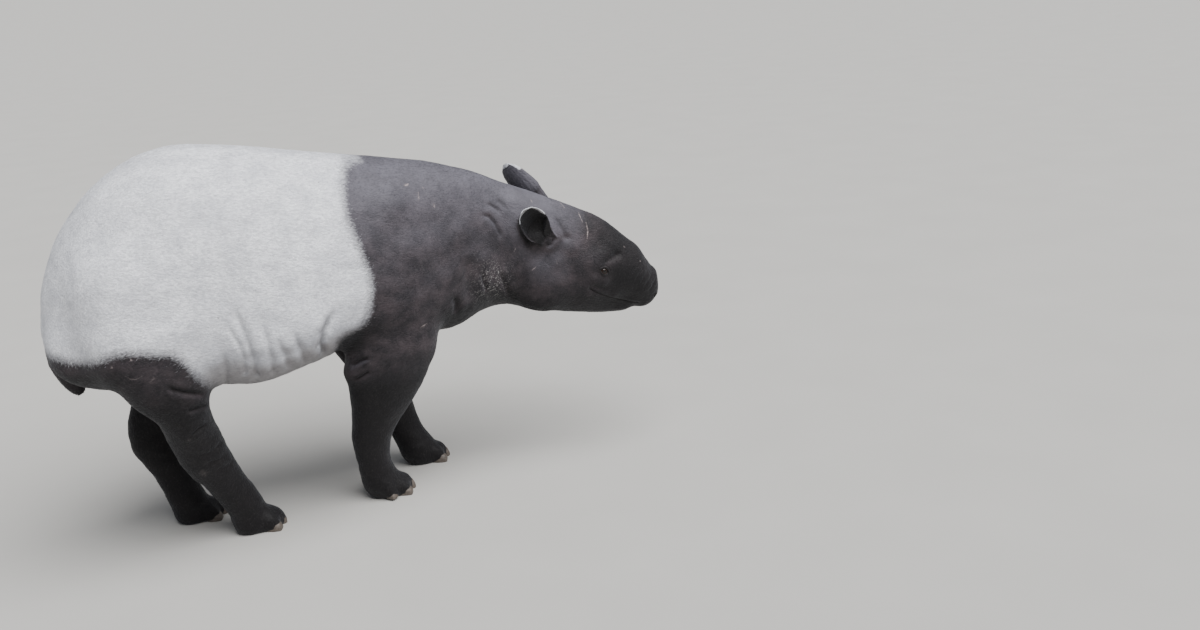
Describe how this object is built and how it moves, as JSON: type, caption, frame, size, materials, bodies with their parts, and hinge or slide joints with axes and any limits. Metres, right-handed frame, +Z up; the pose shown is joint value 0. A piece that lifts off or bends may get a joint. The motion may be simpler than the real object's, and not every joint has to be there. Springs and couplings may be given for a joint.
{
  "type": "malayan tapir",
  "caption": "Malayan tapir standing with its head lowered to feed, a still life-size museum model with a white saddle.",
  "frame": {"origin": "middle of the bounding box, on the floor under the animal", "axes": "+X towards the snout, +Y to the animal's left, +Z up"},
  "size_m": [1.7594, 0.5376, 1.088],
  "materials": {
    "white_coat": "short greyish white hair of the saddle, matt",
    "black_coat": "short black hair over thick grey-black skin, a soft sheen along the back",
    "eye": "dark brown, wet",
    "hoof": "grey-brown horn, worn at the tip"
  },
  "bodies": {
    "root": {"hindquarters": "white_coat", "barrel": "white_coat", "shoulders": "black_coat", "neck": "black_coat", "head": "black_coat", "lower_jaw": "black_coat", "proboscis": "black_coat", "ear_right": "black_coat", "ear_left": "black_coat", "eye_right": "eye", "eye_left": "eye", "tail": "black_coat", "foreleg_right": "black_coat", "foreleg_right_hoof_1": "hoof", "foreleg_right_hoof_2": "hoof", "foreleg_right_hoof_3": "hoof", "foreleg_right_hoof_4": "hoof", "foreleg_left": "black_coat", "foreleg_left_hoof_1": "hoof", "foreleg_left_hoof_2": "hoof", "foreleg_left_hoof_3": "hoof", "foreleg_left_hoof_4": "hoof", "hind_leg_right": "black_coat", "hind_leg_right_hoof_1": "hoof", "hind_leg_right_hoof_2": "hoof", "hind_leg_right_hoof_3": "hoof", "hind_leg_left": "black_coat", "hind_leg_left_hoof_1": "hoof", "hind_leg_left_hoof_2": "hoof", "hind_leg_left_hoof_3": "hoof"}
  },
  "joints": []
}
